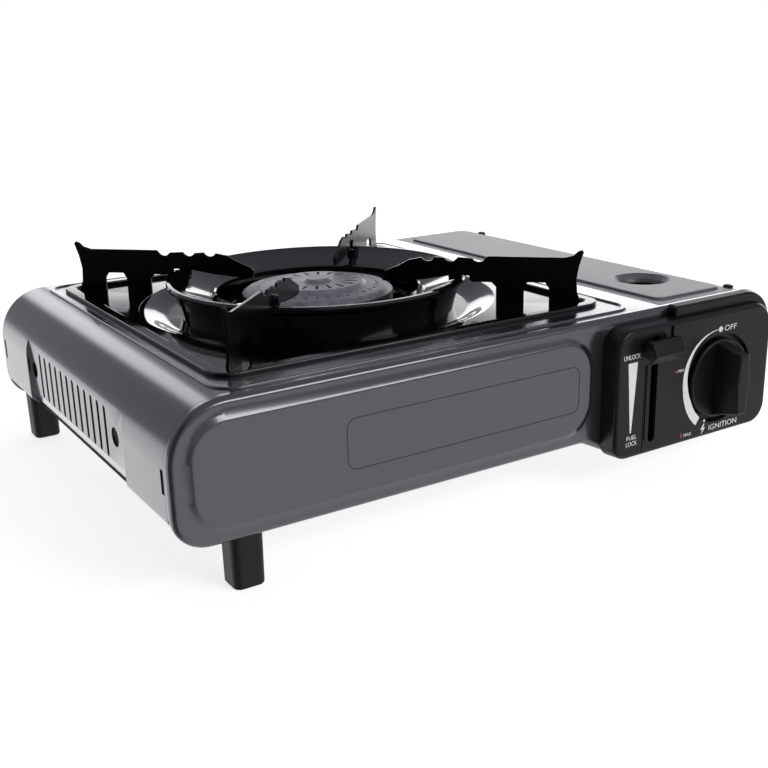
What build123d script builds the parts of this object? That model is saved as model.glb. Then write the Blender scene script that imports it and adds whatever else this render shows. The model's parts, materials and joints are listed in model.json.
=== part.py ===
from build123d import *

import math
import os

# Portable butane stove, millimetres. X runs from the burner side to the canister side, the
# controls face -Y, +Z is up, and the origin is on the ground under the middle of the stove.

# ---- Driving dimensions -------------------------------------------------------------------
WIDTH = 342.0
DEPTH = 253.0
PANEL_PROUD = 10.5
KNOB_PROUD = 16.0
DECK_Z = 85.4
BODY_BOTTOM = 24.0
BAY_BOTTOM = 14.2
SHEET = 1.0
PAN_DEPTH = 5.0

HALF = WIDTH / 2
CENTRE_SHIFT = (PANEL_PROUD + KNOB_PROUD) / 2
FRONT = -DEPTH / 2 + CENTRE_SHIFT
BACK = DEPTH / 2 + CENTRE_SHIFT
FACE = FRONT - PANEL_PROUD

# Drip tray, wind ring and pan-support fins, round one vertical axis.
TRAY_X = -32.3
TRAY_Y = 16.0
TRAY_HALF = 107.0
DECK_HOLE_HALF = 103.2
TRAY_FLOOR = 85.0
DISH_R = 95.0
DISH_Z = 80.0
TRAY_HOLE_R = 49.0
RING_BASE_R = 72.0
RING_RIM_R = 79.0
RING_TOP = 98.5
FIN_THICKNESS = 1.4
FIN_TOP = 109.0

# Burner and the tube that feeds it.
NECK_R = 18.0
BURNER_R = 38.5
CAP_R = 40.0
TUBE_R = 9.0
TUBE_Z = 62.0
TUBE_Y = FRONT + 43.5
ELECTRODE_R = 44.5

# Canister bay, on the axis of a 67 mm canister.
LID_LEFT = 94.8
CAN_X = 131.5
CAN_Z = 50.0
CAN_R = 33.5
HINGE_X = 167.6
HINGE_Z = 62.0
HINGE_CENTRES = (-88.0, 112.0)
LID_FRONT = FRONT + PAN_DEPTH + 0.3
LID_BACK = BACK - PAN_DEPTH - 0.3
LID_EDGE_Z = 66.0
FINGER_X = 129.0
FINGER_Y = -61.7

# Controls.
KNOB_X = 124.0
KNOB_Z = 45.6
KNOB_R = 21.0
POCKET_R = 23.6
SPINDLE_R = 3.0
KNOB_TURN = 155.0
CAM_LOW = 8.5
CAM_RISE = 4.0
CAM_Y = FRONT + 4.0
CAM_WIDTH = 5.0
LEVER_X = 76.8
LEVER_PIVOT_Y = FRONT + 34.5
LEVER_PIVOT_Z = 49.0
LEVER_ARM = PANEL_PROUD + 34.5
LEVER_SWING = 22.4
LEVER_PLATE = 2.5
LEVER_REACH = 53.0
RUNNING = 0.06

# Feet: place, height, and the place of the screw that holds each one. The bay hangs lower than the
# burner side, so its feet are shorter and stand further in.
FOOT_TOP = 15.0
FOOT_TAPER = 0.7
FEET = {
    "foot_front_left": (-138.2, -103.3, BODY_BOTTOM, -139.0, -102.5),
    "foot_back_left": (-155.5, 130.5, BODY_BOTTOM, -152.0, 128.0),
    "foot_front_right": (142.0, -66.0, BAY_BOTTOM, 142.0, -66.0),
    "foot_back_right": (142.0, 112.0, BAY_BOTTOM, 142.0, 112.0),
}

# Screws through the front pan: into the control panel's posts and into the regulator's posts.
PANEL_SCREWS = ((61.0, 22.0), (152.0, 22.5), (104.0, 73.5), (151.0, 69.5))
REGULATOR_POSTS = ((104.0, 34.0), (142.0, 64.0))
COVER_X, COVER_Y, COVER_Z = 123.0, FRONT + 31.0, 68.0
COVER_SCREW_R = 13.0

# Direction of each pan-support fin from the tray's axis, in degrees.
FIN_ANGLES = {
    "fin_front_left": -135.0,
    "fin_front_right": -45.0,
    "fin_back_left": 135.0,
    "fin_back_right": 45.0,
}


# ---- Helpers ------------------------------------------------------------------------------
def block(x0, x1, y0, y1, z0, z1):
    """Box between two corners."""
    return Pos((x0 + x1) / 2, (y0 + y1) / 2, (z0 + z1) / 2) * Box(x1 - x0, y1 - y0, z1 - z0)


def rod_x(x0, x1, y, z, radius):
    return Pos((x0 + x1) / 2, y, z) * Rot(0, 90, 0) * Cylinder(radius, x1 - x0)


def rod_y(y0, y1, x, z, radius):
    return Pos(x, (y0 + y1) / 2, z) * Rot(90, 0, 0) * Cylinder(radius, y1 - y0)


def rod_z(z0, z1, x, y, radius):
    return Pos(x, y, (z0 + z1) / 2) * Cylinder(radius, z1 - z0)


def outline(*corners):
    """Closed face through (x, y, corner radius) corners."""
    face = make_face(Polyline(*[(x, y) for x, y, _ in corners], close=True))
    for x, y, radius in corners:
        if radius:
            nearest = face.vertices().sort_by_distance((x, y, 0))[0]
            face = fillet(nearest, radius)
    return face


def slab_front(face, y0, y1):
    """Extrude a face drawn in (x, z) from y0 to y1."""
    return extrude(Plane(origin=(0, y1, 0), x_dir=(1, 0, 0), z_dir=(0, -1, 0)) * face, y1 - y0)


def slab_side(face, x0, x1):
    """Extrude a face drawn in (y, z) from x0 to x1."""
    return extrude(Plane(origin=(x0, 0, 0), x_dir=(0, 1, 0), z_dir=(1, 0, 0)) * face, x1 - x0)


def slab_top(face, z0, z1):
    """Extrude a face drawn in (x, y) from z0 to z1."""
    return extrude(Pos(0, 0, z0) * face, z1 - z0)


def turned(points, x, y):
    """Revolve (radius, z) points about the vertical line through x, y."""
    profile = Plane.XZ * make_face(Polyline(*points, close=True))
    return Pos(x, y, 0) * revolve(profile, Axis.Z)


def frame_square(half_out, half_in, z0, z1, radius):
    """Square frame round the tray's axis."""
    outer = RectangleRounded(2 * half_out, 2 * half_out, radius)
    inner = RectangleRounded(2 * half_in, 2 * half_in, max(radius - half_out + half_in, 0.5))
    return slab_top(Pos(TRAY_X, TRAY_Y) * (outer - inner), z0, z1)


def body_outline(inset=0.0):
    """Front view of the end pans and the lid: the deck, the left side and the canister bay."""
    face = outline(
        (-HALF, BODY_BOTTOM, 16),
        (-HALF, DECK_Z, 26),
        (HALF, DECK_Z, 22),
        (HALF, BAY_BOTTOM, 12),
        (62, BAY_BOTTOM, 8),
        (42, BODY_BOTTOM, 10),
    )
    return offset(face, amount=-inset) if inset else face


SIDE_LOW = 36.5
SIDE_FOOT_X = -156.0


def wrap_outline(inset=0.0):
    """Front view of the body's wrap: its left side bends in early, to a flat that the feet are on."""
    face = outline(
        (SIDE_FOOT_X, BODY_BOTTOM, 3),
        (-HALF, SIDE_LOW, 3),
        (-HALF, DECK_Z, 26),
        (HALF, DECK_Z, 22),
        (HALF, BAY_BOTTOM, 12),
        (62, BAY_BOTTOM, 8),
        (42, BODY_BOTTOM, 10),
    )
    return offset(face, amount=-inset) if inset else face


# ---- Body sheet metal ---------------------------------------------------------------------
WRAP_FRONT = FRONT + PAN_DEPTH
WRAP_BACK = BACK - PAN_DEPTH
VENT_SLOTS = 12
VENT_PITCH = 9.26
VENT_Y = CENTRE_SHIFT + 4.0
VENT_Z = (41.5, 65.3)
RECESS_Y = (-61.5, 87.0)
RECESS_Z = (33.0, 71.5)
RECESS_DEPTH = 2.0
RECESS_FOLD_Z = 41.0


def wrap_ring():
    """The closed band of sheet that the wrap, the bottom plate and the tub are cut from."""
    return slab_front(wrap_outline(), WRAP_FRONT, WRAP_BACK) - slab_front(
        wrap_outline(SHEET), WRAP_FRONT, WRAP_BACK
    )


def left_recess(inset, x0, x1):
    """Side recess: flat, then folded in along its lower edge."""
    y0, y1 = RECESS_Y
    low, high = RECESS_Z
    face = outline(
        (y0 - inset, low - inset, 0),
        (y0 - inset, high + inset, 10 + inset),
        (y1 + inset, high + inset, 4 + inset),
        (y1 + inset, low - inset, 0),
    )
    fold = outline((x1 - 0.5, RECESS_FOLD_Z, 0), (x1, RECESS_FOLD_Z, 0), (x1 + 3, low, 0), (x1 - 0.5, low, 0))
    return slab_side(face, x0, x1) + slab_front(fold, y0 - inset, y1 + inset)


def body_shell():
    """Left side and deck in one bent sheet, with the tray opening and the side vents."""
    shell = wrap_ring() - block(LID_LEFT - 0.6, HALF + 1, FRONT, BACK, 0, DECK_Z + 5)
    shell -= block(-133, LID_LEFT, FRONT, BACK, 0, BODY_BOTTOM + 10)
    shell -= block(0, LID_LEFT, FRONT, BACK, 0, DECK_Z - 8)

    # Side recess, pressed inwards, with its slots and holes.
    pressed = left_recess(SHEET, -HALF, -HALF + RECESS_DEPTH + SHEET)
    shell += pressed & slab_front(wrap_outline(), WRAP_FRONT, WRAP_BACK)
    shell -= left_recess(0, -HALF - 1, -HALF + RECESS_DEPTH)
    through = (-HALF - 1, -HALF + RECESS_DEPTH + SHEET + 1)
    z0, z1 = VENT_Z
    for i in range(VENT_SLOTS):
        y = VENT_Y + (i - (VENT_SLOTS - 1) / 2) * VENT_PITCH
        slot = Rot(0, 0, 90) * SlotOverall(z1 - z0, 3.2)
        shell -= slab_side(Pos(y, (z0 + z1) / 2) * slot, *through)
    for y in (VENT_Y - 63.1, VENT_Y + 63.1):
        shell -= rod_x(through[0], through[1], y, 54.0, 4.5)
    for y in (WRAP_FRONT + 2.3, WRAP_BACK - 2.3):
        shell -= block(-HALF - 1, -HALF + 2, y - 1.5, y + 1.5, 48.7, 59.3)

    for name in ("foot_front_left", "foot_back_left"):
        x, y = FEET[name][3:]
        shell -= rod_z(BODY_BOTTOM - 1, BODY_BOTTOM + 3, x, y, 2.1)

    # Tray opening with its turned-down flange, and the bead pressed round it.
    opening = RectangleRounded(2 * DECK_HOLE_HALF, 2 * DECK_HOLE_HALF, 9)
    shell -= slab_top(Pos(TRAY_X, TRAY_Y) * opening, DECK_Z - 3, DECK_Z + 3)
    shell += frame_square(DECK_HOLE_HALF + SHEET, DECK_HOLE_HALF, DECK_Z - 6.4, DECK_Z - SHEET, 10)
    bead_outer = RectangleRounded(227, 238, 12)
    bead_inner = RectangleRounded(221, 232, 9)
    bead = slab_top(Pos(TRAY_X, CENTRE_SHIFT) * (bead_outer - bead_inner), DECK_Z, DECK_Z + 0.8)
    shell += fillet(bead.faces().sort_by(Axis.Z)[-1].edges(), 0.7)

    # Flange under the lid's left edge.
    shell += block(LID_LEFT - 1.6, LID_LEFT - 0.6, WRAP_FRONT, WRAP_BACK, DECK_Z - 8, DECK_Z - SHEET)
    return shell


def pan(y_flat, direction):
    """End pan: a flat plate with a rounded rim that reaches PAN_DEPTH towards the body."""
    y_rim = y_flat + direction * PAN_DEPTH
    plate = slab_front(body_outline(), min(y_flat, y_rim), max(y_flat, y_rim))
    ends = plate.faces().sort_by(Axis.Y)
    flat = ends[0] if direction > 0 else ends[-1]
    plate = fillet(flat.edges(), 3.0)
    y_inner = y_flat + direction * SHEET
    return plate - slab_front(body_outline(SHEET), min(y_inner, y_rim), max(y_inner, y_rim))


def field(x0, x1, z0, z1, radius, inset):
    return outline(
        (x0 - inset, z0 - inset, radius),
        (x0 - inset, z1 + inset, radius),
        (x1 + inset, z1 + inset, radius),
        (x1 + inset, z0 - inset, radius),
    )


FIELD_DEPTH = 1.5
FIELD_PROUD = 1.8
FIELD_SLOPE = 3.6


def raised_field(x0, x1, z0, z1, radius, shrink, y_low):
    """Solid field that stands proud of y_low towards the front, with sloped sides."""
    low = field(x0, x1, z0, z1, radius + FIELD_SLOPE - shrink, FIELD_SLOPE - shrink)
    top = field(x0, x1, z0, z1, radius - shrink, -shrink)
    upright = Plane(origin=(0, y_low, 0), x_dir=(1, 0, 0), z_dir=(0, -1, 0))
    return loft([upright * low, upright.offset(FIELD_PROUD) * top])


def front_panel():
    """Front pan with its pressed-out field and the openings behind the control panel."""
    plate = pan(FRONT, 1)
    size = (-161.3, 42.9, 32.2, 76.6, 15.3)
    proud = raised_field(*size, 0, FRONT)
    plate += fillet(proud.faces().sort_by(Axis.Y)[0].edges(), 2.5)
    plate -= raised_field(*size, 0.6, FRONT + SHEET)
    plate -= block(LEVER_X - 4, LEVER_X + 4, FRONT - 1, FRONT + 2, 24, 74)
    plate -= rod_y(FRONT - 1, FRONT + 2, KNOB_X, KNOB_Z, 5.0)
    for x, z in PANEL_SCREWS + REGULATOR_POSTS:
        plate -= rod_y(FRONT - 1, FRONT + 2, x, z, 1.8)
    return plate


def back_panel():
    """Back pan with its pressed field and two rows of vent slots."""
    plate = pan(BACK, -1)
    size = (-150.0, 150.0, 34.0, 74.0)
    plate += slab_front(field(*size, 13, SHEET), BACK - FIELD_DEPTH - SHEET, BACK - SHEET)
    plate -= slab_front(field(*size, 12, 0), BACK - FIELD_DEPTH, BACK + 1)
    slot = SlotOverall(22, 3.2)
    for column in range(7):
        for z in (46.0, 56.0):
            spot = Pos(-120 + 26 * column, z) * slot
            plate -= slab_front(spot, BACK - 5, BACK + 1)
    return plate


def bottom_plate():
    """Flat floor under the burner side, with a row of air holes and the foot screw holes."""
    plate = block(-133, 30, WRAP_FRONT, WRAP_BACK, BODY_BOTTOM, BODY_BOTTOM + SHEET)
    plate += block(-150, -133, WRAP_FRONT, WRAP_BACK, BODY_BOTTOM + SHEET, BODY_BOTTOM + 2 * SHEET)
    plate += block(-133, -132, WRAP_FRONT, WRAP_BACK, BODY_BOTTOM, BODY_BOTTOM + 2 * SHEET)
    for column in range(5):
        for row in range(4):
            x, y = -92 + 26 * column, -60 + 50 * row
            plate -= rod_z(BODY_BOTTOM - 1, BODY_BOTTOM + 3, x, y, 4.0)
    for name in ("foot_front_left", "foot_back_left"):
        x, y = FEET[name][3:]
        plate -= rod_z(BODY_BOTTOM - 1, BODY_BOTTOM + 3, x, y, 2.1)
    return plate


def hinge_tube(y0, y1, bore):
    return rod_y(y0, y1, HINGE_X, HINGE_Z, 3.2) - rod_y(y0 - 1, y1 + 1, HINGE_X, HINGE_Z, bore)


def bay_tub():
    """Canister bay: the step down, its floor and the right side, with the body's hinge tubes."""
    tub = wrap_ring() - block(-HALF - 1, 30, FRONT, BACK, 0, DECK_Z + 5)
    tub -= block(0, HALF + 1, FRONT, BACK, 64.8, DECK_Z + 5)
    tub -= block(0, HALF - 10, FRONT, BACK, BODY_BOTTOM + 5, DECK_Z + 5)
    for centre in HINGE_CENTRES:
        tub -= block(HALF - 2, HALF + 1, centre - 7.3, centre + 7.3, 56.4, DECK_Z)
        for y0, y1 in ((centre - 14, centre - 7.3), (centre + 7.3, centre + 14)):
            tub += block(HINGE_X, HALF - SHEET, y0, y1, HINGE_Z - 3.2, HINGE_Z)
            tub -= rod_y(y0, y1, HINGE_X, HINGE_Z, 2.5)
            tub += hinge_tube(y0, y1, 1.52)
    for name in ("foot_front_right", "foot_back_right"):
        x, y = FEET[name][3:]
        tub -= rod_z(BAY_BOTTOM - 1, BAY_BOTTOM + 3, x, y, 2.1)
    for row in range(5):
        spot = Pos(110, -30 + 30 * row) * SlotOverall(16, 4)
        tub -= slab_top(spot, BAY_BOTTOM - 1, BAY_BOTTOM + 2)
    return tub


def bay_divider():
    """Upright sheet between the burner and the canister, with cooling slots."""
    wall = block(91, 92, FRONT + 76, WRAP_BACK, BAY_BOTTOM + SHEET, DECK_Z - SHEET)
    for column in range(6):
        spot = Pos(-10 + 24 * column, 62) * Rot(0, 0, 90) * SlotOverall(24, 4)
        wall -= slab_side(spot, 90, 93)
    return wall


def heat_plate():
    """Aluminium strip that carries burner warmth to the canister bay."""
    strip = block(TRAY_X + NECK_R - 4, 90, 4, 28, 34, 36) + block(89, 91, 4, 28, 34, 48)
    return strip - rod_z(30, 40, TRAY_X, TRAY_Y, NECK_R)


def canister_cradle():
    """Two saddles that the canister lies on."""
    seats = []
    for y in (FRONT + 98, FRONT + 208):
        seat = block(CAN_X - 27, CAN_X + 27, y - 3, y + 3, BAY_BOTTOM + SHEET, 27)
        seats.append(seat - rod_y(y - 4, y + 4, CAN_X, CAN_Z, CAN_R + 0.4))
    return Compound(children=seats)


# ---- Lid ----------------------------------------------------------------------------------
LID_FIELD = (101.0, 149.0, LID_FRONT + 7, LID_BACK - 7)


def canister_lid():
    """Pressed lid with a rounded outer edge, a raised field, a finger hole and hinge tubes."""
    lid = slab_front(body_outline(), LID_FRONT, LID_BACK) - slab_front(
        body_outline(SHEET), LID_FRONT, LID_BACK
    )
    lid -= block(-HALF - 1, LID_LEFT, FRONT, BACK, 0, DECK_Z + 5)
    lid -= block(0, HALF + 1, FRONT, BACK, 0, LID_EDGE_Z)

    x0, x1, y0, y1 = LID_FIELD
    centre = Pos((x0 + x1) / 2, (y0 + y1) / 2)
    raised = slab_top(centre * RectangleRounded(x1 - x0, y1 - y0, 6), DECK_Z - SHEET, DECK_Z + 1)
    top = raised.faces().sort_by(Axis.Z)[-1]
    raised = fillet(top.edges(), 0.9)
    lid += raised
    under = RectangleRounded(x1 - x0 - 2 * SHEET, y1 - y0 - 2 * SHEET, 5)
    lid -= slab_top(centre * under, DECK_Z - 2, DECK_Z)

    # Finger hole: a drawn-in cone with a plain edge.
    lid -= rod_z(DECK_Z - 3, DECK_Z + 3, FINGER_X, FINGER_Y, 15.6)
    cone = (
        (16.2, DECK_Z + 1),
        (15.4, DECK_Z + 1),
        (12.6, DECK_Z - 1.6),
        (12.0, DECK_Z - 3.6),
        (13.0, DECK_Z - 3.6),
        (13.5, DECK_Z - 2.0),
        (15.6, DECK_Z),
        (16.2, DECK_Z),
    )
    lid += turned(cone, FINGER_X, FINGER_Y)

    for middle in HINGE_CENTRES:
        y0, y1 = middle - 7, middle + 7
        lid += block(HINGE_X + 0.4, HALF - 0.2, y0, y1, HINGE_Z + 1, LID_EDGE_Z + 1)
        lid -= rod_y(y0, y1, HINGE_X, HINGE_Z, 2.5)
        lid += hinge_tube(y0, y1, 1.5 + RUNNING)
    return lid


def lid_hinge_pins():
    return Compound(
        children=[rod_y(y - 14, y + 14, HINGE_X, HINGE_Z, 1.5) for y in HINGE_CENTRES]
    )


def lid_bumpers():
    """Two small rubber buttons near the lid's outer edge."""
    curve = slab_front(body_outline(), FRONT, BACK)
    pads = []
    for y in (-100.6, 115.6):
        pad = slab_top(Pos(153.6, y) * Rot(0, 0, 90) * SlotOverall(5.6, 4.2), 78, DECK_Z + 0.9)
        pads.append(fillet(pad.faces().sort_by(Axis.Z)[-1].edges(), 0.8) - curve)
    return Compound(children=pads)


# ---- Feet and screws ----------------------------------------------------------------------
def foot(name):
    """Tapered moulded foot, cut to the body's underside, with a blind screw hole in its top."""
    x, y, height, screw_x, screw_y = FEET[name]
    top = RectangleRounded(FOOT_TOP, FOOT_TOP, 4)
    low = RectangleRounded(FOOT_TOP - FOOT_TAPER, FOOT_TOP - FOOT_TAPER, 3.6)
    body = loft([Pos(x, y, 0) * low, Pos(x, y, height + 8) * top])
    body = fillet(body.faces().sort_by(Axis.Z)[0].edges(), 1.2)
    body -= slab_front(wrap_outline(), FRONT - 5, BACK + 5)
    body -= slab_front(body_outline(), WRAP_BACK, BACK + 5)
    return body - rod_z(height - 9, height + 1, screw_x, screw_y, 2.05)


def foot_screws():
    """Four pan-head screws that hold the feet from inside."""
    screws = []
    for name, (_, _, height, x, y) in FEET.items():
        seat = height + (2 * SHEET if name.endswith("_left") else SHEET)
        head = fillet(rod_z(seat, seat + 2.4, x, y, 4.0).faces().sort_by(Axis.Z)[-1].edges(), 1.0)
        screws.append(head + rod_z(height - 8, seat, x, y, 2.0))
    return Compound(children=screws)


def panel_screws():
    """Screws through the front pan into the control panel's posts."""
    screws = []
    for x, z in PANEL_SCREWS:
        head = rod_y(FRONT + SHEET, FRONT + SHEET + 2.2, x, z, 3.2)
        screws.append(head + rod_y(FRONT - 4.5, FRONT + SHEET, x, z, 1.5))
    return Compound(children=screws)


def cover_screw_spots():
    """Places of the four screws round the regulator's cover."""
    spots = []
    for corner in range(4):
        angle = math.radians(45 + 90 * corner)
        spots.append((COVER_X + COVER_SCREW_R * math.cos(angle), COVER_Y + COVER_SCREW_R * math.sin(angle)))
    return spots


def regulator_screws():
    """Screws through the front pan into the regulator's posts, and through its cover."""
    screws = []
    for x, z in REGULATOR_POSTS:
        head = rod_y(FRONT - 1.8, FRONT, x, z, 3.0)
        screws.append(head + rod_y(FRONT, FRONT + 9, x, z, 1.5))
    for x, y in cover_screw_spots():
        head = rod_z(COVER_Z + 3, COVER_Z + 5, x, y, 2.4)
        screws.append(head + rod_z(COVER_Z - 5, COVER_Z + 3, x, y, 1.2))
    return Compound(children=screws)


# ---- Control panel, knob and lever --------------------------------------------------------
PANEL_LEFT = 52.0
PANEL_LOW = 14.4
PANEL_HIGH = 80.8
BROW_LEFT = LID_LEFT + 0.2
BROW_HIGH = 86.6
BROW_DEPTH = 5.6
PANEL_WALL = 2.2
POCKET_DEPTH = 3.0
SLOT_Z = (21.0, 76.0)


def tapered_block(back_corners, front_corners, depth, inset):
    """Loft from an outline on the front pan to a smaller one, depth in front of it."""
    upright = Plane(origin=(0, FRONT, 0), x_dir=(1, 0, 0), z_dir=(0, -1, 0))
    back = outline(*back_corners)
    front = outline(*front_corners)
    if inset:
        back = offset(back, amount=-inset)
        front = offset(front, amount=-inset)
    return loft([upright * back, upright.offset(depth - inset) * front])


def panel_block(inset):
    """Main block of the control panel: upright on its left and below, sloped on its right."""
    right = HALF - 0.2
    back = (
        (PANEL_LEFT, PANEL_LOW, 9),
        (PANEL_LEFT, PANEL_HIGH + 0.6, 10),
        (right, PANEL_HIGH + 0.6, 17.5),
        (right, PANEL_LOW, 12),
    )
    face = (
        (PANEL_LEFT + 0.4, PANEL_LOW + 0.4, 9),
        (PANEL_LEFT + 0.4, PANEL_HIGH, 10),
        (right - 10.0, PANEL_HIGH, 13),
        (right - 10.0, PANEL_LOW + 0.4, 11),
    )
    return tapered_block(back, face, PANEL_PROUD, inset)


def panel_brow(inset):
    """Brow along the top of the control panel, in front of the lid."""
    right = HALF - 0.2
    back = ((BROW_LEFT, 60, 0), (BROW_LEFT, BROW_HIGH, 1.5), (right, BROW_HIGH, 21), (right, 60, 0))
    front = (
        (BROW_LEFT, 60, 0),
        (BROW_LEFT, BROW_HIGH - 0.4, 1.5),
        (right - 5.6, BROW_HIGH - 0.4, 18),
        (right - 5.6, 60, 0),
    )
    return tapered_block(back, front, BROW_DEPTH, inset)


def rounded_towards_front(block_shape, radius):
    """Round the edges of a block's foremost face."""
    return fillet(block_shape.faces().sort_by(Axis.Y)[0].edges(), radius)


def control_panel():
    """Hollow moulded panel with the lever slot, a pocket round the knob, posts and a brow."""
    panel = rounded_towards_front(panel_block(0), 2.6) + rounded_towards_front(panel_brow(0), 1.4)
    panel -= panel_block(PANEL_WALL) + panel_brow(PANEL_WALL)
    for x, z in PANEL_SCREWS:
        panel += rod_y(FACE + 1, FRONT, x, z, 3.6)
        panel -= rod_y(FRONT - 5, FRONT + 1, x, z, 1.55)

    # Round pocket that the knob's skirt turns in.
    panel += rod_y(FACE + 1, FACE + POCKET_DEPTH + PANEL_WALL, KNOB_X, KNOB_Z, POCKET_R + 2)
    panel -= rod_y(FACE - 1, FACE + POCKET_DEPTH, KNOB_X, KNOB_Z, POCKET_R)
    panel -= rod_y(FACE, FRONT, KNOB_X, KNOB_Z, 4.0)

    # Lever slot with a raised lip down its left side, the shade line beside the legends, and the
    # notch above the lever's top place.
    z0, z1 = SLOT_Z
    slot = Pos(LEVER_X, (z0 + z1) / 2) * Rot(0, 0, 90) * SlotOverall(z1 - z0, 4.6)
    lip = Pos(LEVER_X - 4.2, 42) * RectangleRounded(2.0, 40, 0.9)
    panel += slab_front(lip, FACE - 0.5, FACE + 1)
    panel -= slab_front(slot, FACE - 2, FACE + 3)
    panel -= block(70.2, 70.7, FACE - 1, FACE + 0.4, PANEL_LOW - 1, 62)
    return panel - block(83.4, 88.8, FACE - 1, FACE + 1.0, 72.0, 79.0)


def grip_section(y, half_length):
    """Section of the knob's grip bar, waisted towards both of its ends."""
    upright = Plane(origin=(KNOB_X, y, KNOB_Z), x_dir=(1, 0, 0), z_dir=(0, -1, 0))
    return upright * outline(
        (-3.6, -half_length, 1.5),
        (-4.9, 0, 0),
        (-3.6, half_length, 1.5),
        (3.6, half_length, 1.5),
        (4.9, 0, 0),
        (3.6, -half_length, 1.5),
    )


def control_knob():
    """Round knob with a shallow dished face and an upright grip bar."""
    rim = FACE - 1.2
    front = FACE - KNOB_PROUD
    disc = rod_y(rim, FACE + POCKET_DEPTH - 0.6, KNOB_X, KNOB_Z, KNOB_R)
    disc = fillet(disc.faces().sort_by(Axis.Y)[0].edges(), 1.3)
    dish = rod_y(rim - 1, rim + 0.8, KNOB_X, KNOB_Z, KNOB_R - 1.8)
    bar = loft([grip_section(rim + 2, 19.8), grip_section(front, 15.6)])
    bar = fillet(bar.faces().sort_by(Axis.Y)[0].edges(), 1.6)
    knob = disc - dish + bar
    return knob - rod_y(front + 3.5, FRONT, KNOB_X, KNOB_Z, SPINDLE_R + 0.02)


def valve_spindle():
    return rod_y(FACE - KNOB_PROUD + 4, FRONT + 20, KNOB_X, KNOB_Z, SPINDLE_R)


def ignition_cam():
    """Spiral cam on the spindle: it pushes the igniter's plunger in step with the knob."""
    steps = 16
    points = []
    for i in range(steps + 1):
        share = i / steps
        angle = math.radians(180 - KNOB_TURN * share)
        radius = CAM_LOW + CAM_RISE * share
        points.append((radius * math.cos(angle), radius * math.sin(angle)))
    rise = Spline(*points)
    start, end = points[0], points[-1]
    low = CAM_LOW * 0.8
    around = ThreePointArc(start, (0, -low), (low, 0))
    face = make_face([rise, around, Line((low, 0), end)])
    cam = slab_front(Pos(KNOB_X, KNOB_Z) * face, CAM_Y, CAM_Y + CAM_WIDTH)
    return cam - rod_y(CAM_Y - 1, CAM_Y + CAM_WIDTH + 1, KNOB_X, KNOB_Z, SPINDLE_R + 0.02)


def lever_place(shape):
    """Turn a lever piece drawn level about its pivot up to the unlocked rest place."""
    return Pos(LEVER_X, LEVER_PIVOT_Y, LEVER_PIVOT_Z) * Rot(-LEVER_SWING, 0, 0) * shape


def lock_lever():
    """Flat steel lever on its pivot."""
    half = LEVER_PLATE / 2
    arm = outline((-LEVER_REACH, -4, 0), (-LEVER_REACH, 4, 0), (0, 4.4, 0), (0, -4.4, 0))
    plate = slab_side(arm, -half, half) + rod_x(-half, half, 0, 0, 4.4)
    return lever_place(plate - rod_x(-3, 3, 0, 0, 2.0 + RUNNING))


def lever_paddle():
    """Moulded thumb piece on the lever's end, clear of the panel at both ends of its travel."""
    near, shoulder, far = LEVER_ARM + 5.0, LEVER_ARM + 7.6, LEVER_ARM + 13.0
    side = outline(
        (-near, 0, 0),
        (-shoulder, -5.8, 0),
        (-far, -3.4, 1.5),
        (-far, 4.4, 2.5),
        (-shoulder, 5.8, 0),
    )
    paddle = slab_side(side, -9.4, 11.4)
    ends = paddle.faces().sort_by(Axis.X)
    paddle = fillet(ends[0].edges() + ends[-1].edges(), 0.9)
    half = LEVER_PLATE / 2
    paddle -= block(-half - 0.02, half + 0.02, -LEVER_REACH - 0.02, 0, -4.1, 4.1)
    return lever_place(paddle)


def lever_bracket():
    """Angle bracket behind the front pan that carries the lever's pin."""
    x = LEVER_X - 4.3
    bracket = block(x - 1.5, x, FRONT + SHEET, FRONT + 38, 40, 53)
    bracket += block(x - 11, x, FRONT + SHEET, FRONT + SHEET + 1.5, 40, 53)
    return bracket - rod_x(x - 3, x + 2, LEVER_PIVOT_Y, LEVER_PIVOT_Z, 2.02)


def lever_pin():
    x = LEVER_X - 4.3
    shank = rod_x(x - 1.5, LEVER_X + 2.4, LEVER_PIVOT_Y, LEVER_PIVOT_Z, 2.0)
    return shank + rod_x(LEVER_X + 1.7, LEVER_X + 3.2, LEVER_PIVOT_Y, LEVER_PIVOT_Z, 3.6)


def canister_pusher():
    """Slide that draws the canister's collar onto the connector as the lever goes down."""
    y = FRONT + 69
    plate = block(CAN_X - 28, CAN_X + 28, y, y + 2, 16, 42)
    plate -= rod_y(y - 1, y + 3, CAN_X, CAN_Z, 16.5)
    arm = block(81, CAN_X - 20, y, y + 2, 16, 27)
    strip = block(81, 84, FRONT + 30, y + 2, 16, 27)
    return plate + arm + strip


# ---- Regulator, igniter and burner --------------------------------------------------------
def regulator_body():
    """Die-cast regulator block with its posts, spindle boss and connector boss."""
    cast = block(100, 146, FRONT + 12, FRONT + 50, 32, COVER_Z)
    cast = fillet(cast.edges(), 2.5)
    cast += rod_y(FRONT + 10, FRONT + 14, KNOB_X, KNOB_Z, 8.0)
    for x, z in REGULATOR_POSTS:
        cast += rod_y(FRONT + SHEET, FRONT + 15, x, z, 3.0)
        cast -= rod_y(FRONT, FRONT + 10, x, z, 1.55)
    cast += rod_y(FRONT + 48, FRONT + 53, CAN_X, CAN_Z, 13.0)
    cast -= rod_y(FRONT + 9, FRONT + 22, KNOB_X, KNOB_Z, SPINDLE_R + RUNNING)
    cast -= rod_y(FRONT + 46, FRONT + 54, CAN_X, CAN_Z, 6.0)
    cast -= rod_x(99, 106, TUBE_Y, TUBE_Z, 2.5)
    for x, y in cover_screw_spots():
        cast -= rod_z(COVER_Z - 6, COVER_Z + 1, x, y, 1.25)
    return cast


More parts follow.
